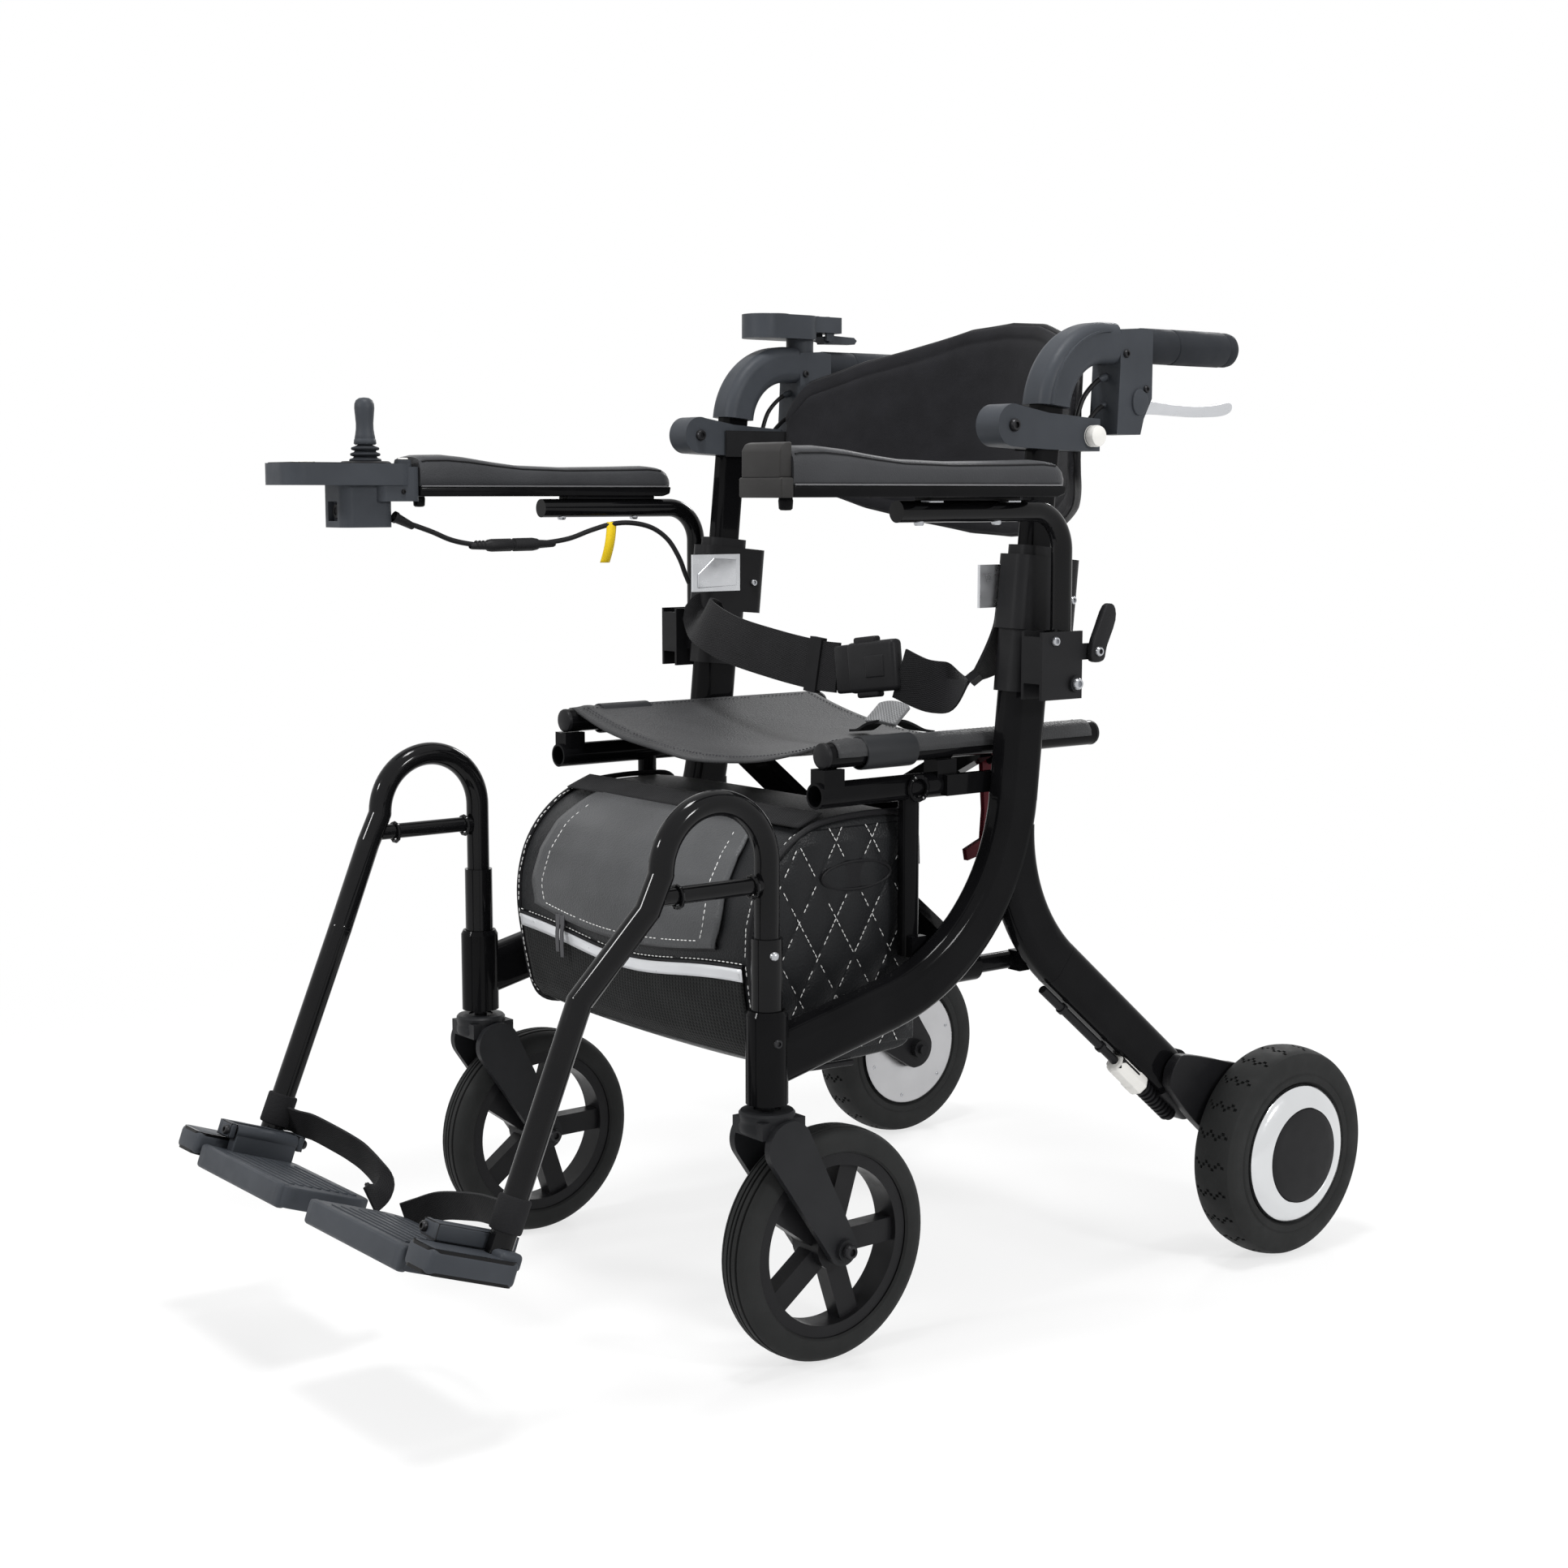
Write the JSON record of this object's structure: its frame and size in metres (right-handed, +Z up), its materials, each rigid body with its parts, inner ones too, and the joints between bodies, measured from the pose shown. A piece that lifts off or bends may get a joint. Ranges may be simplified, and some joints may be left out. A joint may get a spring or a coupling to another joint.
{
  "type": "rollator transport chair",
  "caption": "Folding rollator that doubles as an attendant and joystick driven transport chair, with hub motor rear wheels, swivel casters, armrests, legrests and an under-seat bag.",
  "frame": {"origin": "on the floor, under the middle of the chair's box", "axes": "+X to the user's left, -Y to the front, +Z up"},
  "size_m": [0.618, 0.9934, 0.901],
  "materials": {
    "gloss_frame": "gloss black paint",
    "slate_plastic": "fine matte grain",
    "black_plastic": "satin",
    "cloth": "woven and coated cloth",
    "rubber": "matte",
    "tyre": "matte",
    "silver": "satin",
    "steel": "satin black",
    "red_metal": "dark red anodised"
  },
  "bodies": {
    "left_side": {"side_frame_left": "gloss_frame", "seat_rail_left": "gloss_frame", "height_clamp_left": "slate_plastic", "arm_bracket_left": "black_plastic", "axle_bracket_left": "steel", "storage_bag": "cloth", "battery_pack": "black_plastic", "seat_belt": "cloth"},
    "cross_a": {"cross_arm_a": "gloss_frame", "seat_tube_right": "gloss_frame"},
    "cross_b": {"cross_arm_b": "gloss_frame", "seat_tube_left": "gloss_frame", "seat_sling": "cloth"},
    "right_side": {"side_frame_right": "gloss_frame", "seat_rail_right": "gloss_frame", "height_clamp_right": "slate_plastic", "arm_bracket_right": "black_plastic", "axle_bracket_right": "steel", "joystick_lead": "rubber"},
    "hook": {"fold_hook": "red_metal"},
    "legrest_left": {"legrest_left": "gloss_frame"},
    "footrest_left": {"footplate_left": "slate_plastic", "heel_strap_left": "cloth"},
    "upper_left": {"upright_tube_left": "gloss_frame", "handle_elbow_left": "slate_plastic", "grip_left": "rubber", "back_arm_left": "slate_plastic", "backrest_sling": "cloth"},
    "brake_left": {"brake_lever_left": "silver"},
    "armrest_left": {"arm_tube_left": "gloss_frame", "arm_pad_left": "slate_plastic"},
    "latch_left": {"arm_latch_left": "slate_plastic"},
    "button_left": {"height_button_left": "silver"},
    "fork_left": {"caster_fork_left": "slate_plastic"},
    "front_wheel_left": {"caster_wheel_left": "black_plastic", "caster_tyre_left": "tyre"},
    "rear_wheel_left": {"hub_motor_left": "steel", "rear_tyre_left": "tyre"},
    "legrest_right": {"legrest_right": "gloss_frame"},
    "footrest_right": {"footplate_right": "slate_plastic", "heel_strap_right": "cloth"},
    "upper_right": {"upright_tube_right": "gloss_frame", "handle_elbow_right": "slate_plastic", "grip_right": "rubber", "back_arm_right": "slate_plastic", "control_pod": "slate_plastic"},
    "brake_right": {"brake_lever_right": "silver"},
    "armrest_right": {"arm_tube_right": "gloss_frame", "arm_pad_right": "slate_plastic", "joystick_pod": "slate_plastic"},
    "latch_right": {"arm_latch_right": "slate_plastic"},
    "button_right": {"height_button_right": "silver"},
    "fork_right": {"caster_fork_right": "slate_plastic"},
    "front_wheel_right": {"caster_wheel_right": "black_plastic", "caster_tyre_right": "tyre"},
    "rear_wheel_right": {"hub_motor_right": "steel", "rear_tyre_right": "tyre"},
    "thumb": {"thumb_lever": "silver"},
    "gimbal": {"joystick_gimbal": "black_plastic"},
    "stick": {"joystick_stick": "rubber"}
  },
  "joints": [
    {"name": "fold", "type": "hinge", "parent": "left_side", "child": "cross_a", "pos_m": [0.195, 0.0665, 0.306], "axis": [0, 1, 0], "range_deg": [0, 36], "deforming": ["seat_sling", "storage_bag", "seat_belt", "backrest_sling"]},
    {"name": "fold_centre", "type": "hinge", "parent": "cross_a", "child": "cross_b", "pos_m": [0, 0.0665, 0.405], "axis": [0, 1, 0], "range_deg": [-72, 0]},
    {"name": "fold_right", "type": "hinge", "parent": "cross_b", "child": "right_side", "pos_m": [-0.195, 0.0665, 0.306], "axis": [0, 1, 0], "range_deg": [0, 36]},
    {"name": "hook_swing", "type": "hinge", "parent": "left_side", "child": "hook", "pos_m": [0.172, 0.1105, 0.485], "axis": [1, 0, 0], "range_deg": [-5, 30]},
    {"name": "legrest_lift_left", "type": "slide", "parent": "left_side", "child": "legrest_left", "axis": [0, 0, 1], "range_m": [0, 0.11]},
    {"name": "footplate_flip_left", "type": "hinge", "parent": "legrest_left", "child": "footrest_left", "pos_m": [0.172, -0.43334, 0.15691], "axis": [0, 0.9397, -0.342], "range_deg": [0, 90]},
    {"name": "handle_height_left", "type": "slide", "parent": "left_side", "child": "upper_left", "axis": [0, 0.0993, 0.9951], "range_m": [-0.03, 0.1]},
    {"name": "brake_left", "type": "hinge", "parent": "upper_left", "child": "brake_left", "pos_m": [0.224, 0.2305, 0.797], "axis": [1, 0, 0], "range_deg": [-12, 12], "stiffness_Nm_per_rad": 4},
    {"name": "armrest_flip_left", "type": "hinge", "parent": "left_side", "child": "armrest_left", "pos_m": [0.264, 0.1125, 0.559], "axis": [-1, 0, 0], "range_deg": [0, 95]},
    {"name": "arm_latch_left", "type": "hinge", "parent": "left_side", "child": "latch_left", "pos_m": [0.28, 0.1345, 0.586], "axis": [-1, 0, 0], "range_deg": [0, 15], "stiffness_Nm_per_rad": 0.4},
    {"name": "height_button_left", "type": "slide", "parent": "left_side", "child": "button_left", "axis": [1, 0, 0], "range_m": [0, 0.0025], "stiffness_N_per_m": 800},
    {"name": "caster_swivel_left", "type": "hinge", "parent": "left_side", "child": "fork_left", "pos_m": [0.224, -0.1805, 0.226], "axis": [0, 0, 1], "continuous": true},
    {"name": "front_wheel_spin_left", "type": "hinge", "parent": "fork_left", "child": "front_wheel_left", "pos_m": [0.224, -0.1205, 0.1], "axis": [1, 0, 0], "continuous": true},
    {"name": "rear_wheel_spin_left", "type": "hinge", "parent": "left_side", "child": "rear_wheel_left", "pos_m": [0.277, 0.3965, 0.1], "axis": [1, 0, 0], "continuous": true},
    {"name": "legrest_lift_right", "type": "slide", "parent": "right_side", "child": "legrest_right", "axis": [0, 0, 1], "range_m": [0, 0.11]},
    {"name": "footplate_flip_right", "type": "hinge", "parent": "legrest_right", "child": "footrest_right", "pos_m": [-0.172, -0.43334, 0.15691], "axis": [0, 0.9397, -0.342], "range_deg": [-90, 0]},
    {"name": "handle_height_right", "type": "slide", "parent": "right_side", "child": "upper_right", "axis": [0, 0.0993, 0.9951], "range_m": [-0.03, 0.1]},
    {"name": "brake_right", "type": "hinge", "parent": "upper_right", "child": "brake_right", "pos_m": [-0.224, 0.2305, 0.797], "axis": [1, 0, 0], "range_deg": [-12, 12], "stiffness_Nm_per_rad": 4},
    {"name": "armrest_flip_right", "type": "hinge", "parent": "right_side", "child": "armrest_right", "pos_m": [-0.264, 0.1125, 0.559], "axis": [-1, 0, 0], "range_deg": [0, 95]},
    {"name": "arm_latch_right", "type": "hinge", "parent": "right_side", "child": "latch_right", "pos_m": [-0.28, 0.1345, 0.586], "axis": [-1, 0, 0], "range_deg": [0, 15], "stiffness_Nm_per_rad": 0.4},
    {"name": "height_button_right", "type": "slide", "parent": "right_side", "child": "button_right", "axis": [-1, 0, 0], "range_m": [0, 0.0025], "stiffness_N_per_m": 800},
    {"name": "caster_swivel_right", "type": "hinge", "parent": "right_side", "child": "fork_right", "pos_m": [-0.224, -0.1805, 0.226], "axis": [0, 0, 1], "continuous": true},
    {"name": "front_wheel_spin_right", "type": "hinge", "parent": "fork_right", "child": "front_wheel_right", "pos_m": [-0.224, -0.1205, 0.1], "axis": [1, 0, 0], "continuous": true},
    {"name": "rear_wheel_spin_right", "type": "hinge", "parent": "right_side", "child": "rear_wheel_right", "pos_m": [-0.277, 0.3965, 0.1], "axis": [1, 0, 0], "continuous": true},
    {"name": "thumb_press", "type": "hinge", "parent": "upper_right", "child": "thumb", "pos_m": [-0.224, 0.2445, 0.879], "axis": [-1, 0, 0], "range_deg": [0, 8], "stiffness_Nm_per_rad": 0.4},
    {"name": "stick_pitch", "type": "hinge", "parent": "armrest_right", "child": "gimbal", "pos_m": [-0.28, -0.2615, 0.736], "axis": [1, 0, 0], "range_deg": [-18, 18], "stiffness_Nm_per_rad": 0.5},
    {"name": "stick_roll", "type": "hinge", "parent": "gimbal", "child": "stick", "pos_m": [-0.28, -0.2615, 0.736], "axis": [0, 1, 0], "range_deg": [-18, 18], "stiffness_Nm_per_rad": 0.5}
  ],
  "couplings": [
    {"joint": "fold_centre", "follows": "fold", "ratio": -2},
    {"joint": "fold_right", "follows": "fold", "ratio": 1},
    {"joint": "footplate_flip_left", "follows": "fold", "ratio": 2.5},
    {"joint": "footplate_flip_right", "follows": "fold", "ratio": -2.5},
    {"joint": "handle_height_right", "follows": "handle_height_left", "ratio": 1}
  ]
}
